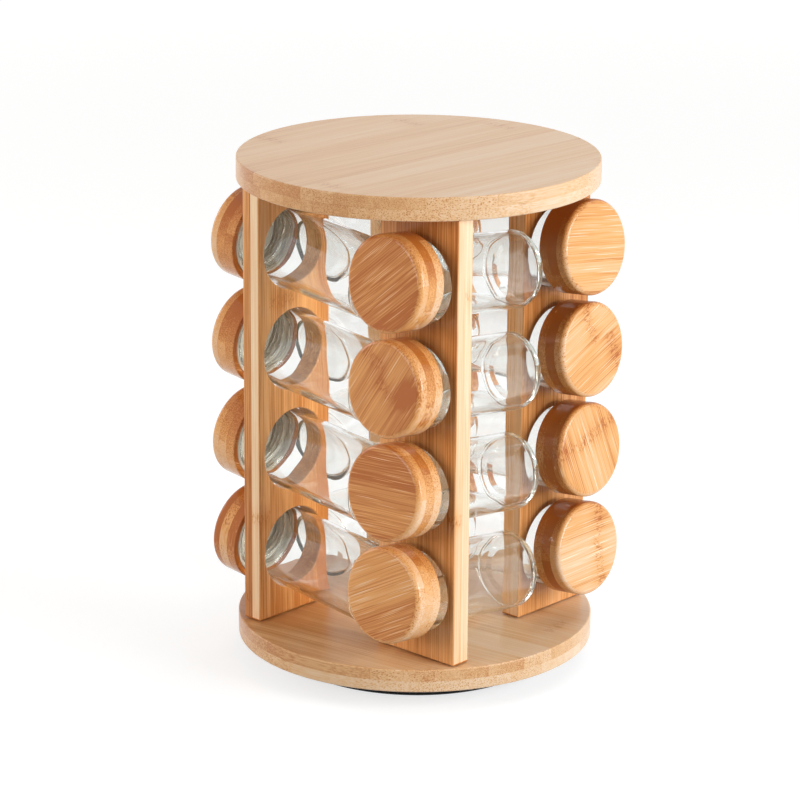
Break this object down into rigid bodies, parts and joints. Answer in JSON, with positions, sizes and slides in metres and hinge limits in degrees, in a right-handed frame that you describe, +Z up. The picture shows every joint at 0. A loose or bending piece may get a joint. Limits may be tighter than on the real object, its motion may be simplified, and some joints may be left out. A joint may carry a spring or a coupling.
{
  "type": "spice carousel",
  "caption": "Revolving bamboo spice rack: lidded glass jars lie through holes in pinwheel uprights between round discs, above a ball-bearing turntable.",
  "frame": {"origin": "on the turning axis, in the plane of the foot ring's underside, which rests on the table", "axes": "+Z up along the turning axis; the jars of side a point along -Y, side b along -X, side c along +Y and side d along +X, each 6.5 degrees above level"},
  "size_m": [0.2, 0.2, 0.288],
  "materials": {
    "bamboo_disc": "clear satin lacquer on pale laminated bamboo",
    "bamboo_upright": "clear satin lacquer on warm laminated bamboo",
    "bamboo_lid": "clear satin lacquer on warm laminated bamboo",
    "jar_glass": "clear moulded soda-lime glass",
    "liner_plastic": "moulded natural polypropylene",
    "turntable_plastic": "moulded black plastic",
    "foot_rubber": "matt black rubber",
    "bearing_steel": "plain bright steel"
  },
  "bodies": {
    "turntable_base": {"turntable_lower_plate": "turntable_plastic", "foot_ring": "foot_rubber", "pivot_pin": "bearing_steel"},
    "ball_ring": {"ball_ring": "bearing_steel"},
    "carousel": {"turntable_upper_plate": "turntable_plastic", "base_disc": "bamboo_disc", "top_disc": "bamboo_disc", "upright_a": "bamboo_upright", "upright_b": "bamboo_upright", "upright_c": "bamboo_upright", "upright_d": "bamboo_upright"},
    "jar_a1": {"jar_glass_a1": "jar_glass"},
    "lid_a1": {"jar_lid_a1": "bamboo_lid", "lid_liner_a1": "liner_plastic"},
    "jar_a2": {"jar_glass_a2": "jar_glass"},
    "lid_a2": {"jar_lid_a2": "bamboo_lid", "lid_liner_a2": "liner_plastic"},
    "jar_a3": {"jar_glass_a3": "jar_glass"},
    "lid_a3": {"jar_lid_a3": "bamboo_lid", "lid_liner_a3": "liner_plastic"},
    "jar_a4": {"jar_glass_a4": "jar_glass"},
    "lid_a4": {"jar_lid_a4": "bamboo_lid", "lid_liner_a4": "liner_plastic"},
    "jar_b1": {"jar_glass_b1": "jar_glass"},
    "lid_b1": {"jar_lid_b1": "bamboo_lid", "lid_liner_b1": "liner_plastic"},
    "jar_b2": {"jar_glass_b2": "jar_glass"},
    "lid_b2": {"jar_lid_b2": "bamboo_lid", "lid_liner_b2": "liner_plastic"},
    "jar_b3": {"jar_glass_b3": "jar_glass"},
    "lid_b3": {"jar_lid_b3": "bamboo_lid", "lid_liner_b3": "liner_plastic"},
    "jar_b4": {"jar_glass_b4": "jar_glass"},
    "lid_b4": {"jar_lid_b4": "bamboo_lid", "lid_liner_b4": "liner_plastic"},
    "jar_c1": {"jar_glass_c1": "jar_glass"},
    "lid_c1": {"jar_lid_c1": "bamboo_lid", "lid_liner_c1": "liner_plastic"},
    "jar_c2": {"jar_glass_c2": "jar_glass"},
    "lid_c2": {"jar_lid_c2": "bamboo_lid", "lid_liner_c2": "liner_plastic"},
    "jar_c3": {"jar_glass_c3": "jar_glass"},
    "lid_c3": {"jar_lid_c3": "bamboo_lid", "lid_liner_c3": "liner_plastic"},
    "jar_c4": {"jar_glass_c4": "jar_glass"},
    "lid_c4": {"jar_lid_c4": "bamboo_lid", "lid_liner_c4": "liner_plastic"},
    "jar_d1": {"jar_glass_d1": "jar_glass"},
    "lid_d1": {"jar_lid_d1": "bamboo_lid", "lid_liner_d1": "liner_plastic"},
    "jar_d2": {"jar_glass_d2": "jar_glass"},
    "lid_d2": {"jar_lid_d2": "bamboo_lid", "lid_liner_d2": "liner_plastic"},
    "jar_d3": {"jar_glass_d3": "jar_glass"},
    "lid_d3": {"jar_lid_d3": "bamboo_lid", "lid_liner_d3": "liner_plastic"},
    "jar_d4": {"jar_glass_d4": "jar_glass"},
    "lid_d4": {"jar_lid_d4": "bamboo_lid", "lid_liner_d4": "liner_plastic"}
  },
  "joints": [
    {"name": "carousel_turn", "type": "hinge", "parent": "turntable_base", "child": "carousel", "pos_m": [0, 0, 0.012], "axis": [0, 0, 1], "continuous": true},
    {"name": "ball_ring_turn", "type": "hinge", "parent": "turntable_base", "child": "ball_ring", "pos_m": [0, 0, 0.0068], "axis": [0, 0, 1], "continuous": true},
    {"name": "jar_a1_out", "type": "slide", "parent": "carousel", "child": "jar_a1", "axis": [0, -0.9936, 0.1132], "range_m": [0, 0.085]},
    {"name": "lid_a1_off", "type": "slide", "parent": "jar_a1", "child": "lid_a1", "axis": [0, -0.9936, 0.1132], "range_m": [0, 0.016]},
    {"name": "jar_a2_out", "type": "slide", "parent": "carousel", "child": "jar_a2", "axis": [0, -0.9936, 0.1132], "range_m": [0, 0.085]},
    {"name": "lid_a2_off", "type": "slide", "parent": "jar_a2", "child": "lid_a2", "axis": [0, -0.9936, 0.1132], "range_m": [0, 0.016]},
    {"name": "jar_a3_out", "type": "slide", "parent": "carousel", "child": "jar_a3", "axis": [0, -0.9936, 0.1132], "range_m": [0, 0.085]},
    {"name": "lid_a3_off", "type": "slide", "parent": "jar_a3", "child": "lid_a3", "axis": [0, -0.9936, 0.1132], "range_m": [0, 0.016]},
    {"name": "jar_a4_out", "type": "slide", "parent": "carousel", "child": "jar_a4", "axis": [0, -0.9936, 0.1132], "range_m": [0, 0.085]},
    {"name": "lid_a4_off", "type": "slide", "parent": "jar_a4", "child": "lid_a4", "axis": [0, -0.9936, 0.1132], "range_m": [0, 0.016]},
    {"name": "jar_b1_out", "type": "slide", "parent": "carousel", "child": "jar_b1", "axis": [-0.9936, 0, 0.1132], "range_m": [0, 0.085]},
    {"name": "lid_b1_off", "type": "slide", "parent": "jar_b1", "child": "lid_b1", "axis": [-0.9936, 0, 0.1132], "range_m": [0, 0.016]},
    {"name": "jar_b2_out", "type": "slide", "parent": "carousel", "child": "jar_b2", "axis": [-0.9936, 0, 0.1132], "range_m": [0, 0.085]},
    {"name": "lid_b2_off", "type": "slide", "parent": "jar_b2", "child": "lid_b2", "axis": [-0.9936, 0, 0.1132], "range_m": [0, 0.016]},
    {"name": "jar_b3_out", "type": "slide", "parent": "carousel", "child": "jar_b3", "axis": [-0.9936, 0, 0.1132], "range_m": [0, 0.085]},
    {"name": "lid_b3_off", "type": "slide", "parent": "jar_b3", "child": "lid_b3", "axis": [-0.9936, 0, 0.1132], "range_m": [0, 0.016]},
    {"name": "jar_b4_out", "type": "slide", "parent": "carousel", "child": "jar_b4", "axis": [-0.9936, 0, 0.1132], "range_m": [0, 0.085]},
    {"name": "lid_b4_off", "type": "slide", "parent": "jar_b4", "child": "lid_b4", "axis": [-0.9936, 0, 0.1132], "range_m": [0, 0.016]},
    {"name": "jar_c1_out", "type": "slide", "parent": "carousel", "child": "jar_c1", "axis": [0, 0.9936, 0.1132], "range_m": [0, 0.085]},
    {"name": "lid_c1_off", "type": "slide", "parent": "jar_c1", "child": "lid_c1", "axis": [0, 0.9936, 0.1132], "range_m": [0, 0.016]},
    {"name": "jar_c2_out", "type": "slide", "parent": "carousel", "child": "jar_c2", "axis": [0, 0.9936, 0.1132], "range_m": [0, 0.085]},
    {"name": "lid_c2_off", "type": "slide", "parent": "jar_c2", "child": "lid_c2", "axis": [0, 0.9936, 0.1132], "range_m": [0, 0.016]},
    {"name": "jar_c3_out", "type": "slide", "parent": "carousel", "child": "jar_c3", "axis": [0, 0.9936, 0.1132], "range_m": [0, 0.085]},
    {"name": "lid_c3_off", "type": "slide", "parent": "jar_c3", "child": "lid_c3", "axis": [0, 0.9936, 0.1132], "range_m": [0, 0.016]},
    {"name": "jar_c4_out", "type": "slide", "parent": "carousel", "child": "jar_c4", "axis": [0, 0.9936, 0.1132], "range_m": [0, 0.085]},
    {"name": "lid_c4_off", "type": "slide", "parent": "jar_c4", "child": "lid_c4", "axis": [0, 0.9936, 0.1132], "range_m": [0, 0.016]},
    {"name": "jar_d1_out", "type": "slide", "parent": "carousel", "child": "jar_d1", "axis": [0.9936, 0, 0.1132], "range_m": [0, 0.085]},
    {"name": "lid_d1_off", "type": "slide", "parent": "jar_d1", "child": "lid_d1", "axis": [0.9936, 0, 0.1132], "range_m": [0, 0.016]},
    {"name": "jar_d2_out", "type": "slide", "parent": "carousel", "child": "jar_d2", "axis": [0.9936, 0, 0.1132], "range_m": [0, 0.085]},
    {"name": "lid_d2_off", "type": "slide", "parent": "jar_d2", "child": "lid_d2", "axis": [0.9936, 0, 0.1132], "range_m": [0, 0.016]},
    {"name": "jar_d3_out", "type": "slide", "parent": "carousel", "child": "jar_d3", "axis": [0.9936, 0, 0.1132], "range_m": [0, 0.085]},
    {"name": "lid_d3_off", "type": "slide", "parent": "jar_d3", "child": "lid_d3", "axis": [0.9936, 0, 0.1132], "range_m": [0, 0.016]},
    {"name": "jar_d4_out", "type": "slide", "parent": "carousel", "child": "jar_d4", "axis": [0.9936, 0, 0.1132], "range_m": [0, 0.085]},
    {"name": "lid_d4_off", "type": "slide", "parent": "jar_d4", "child": "lid_d4", "axis": [0.9936, 0, 0.1132], "range_m": [0, 0.016]}
  ],
  "couplings": [
    {"joint": "ball_ring_turn", "follows": "carousel_turn", "ratio": 0.5}
  ]
}
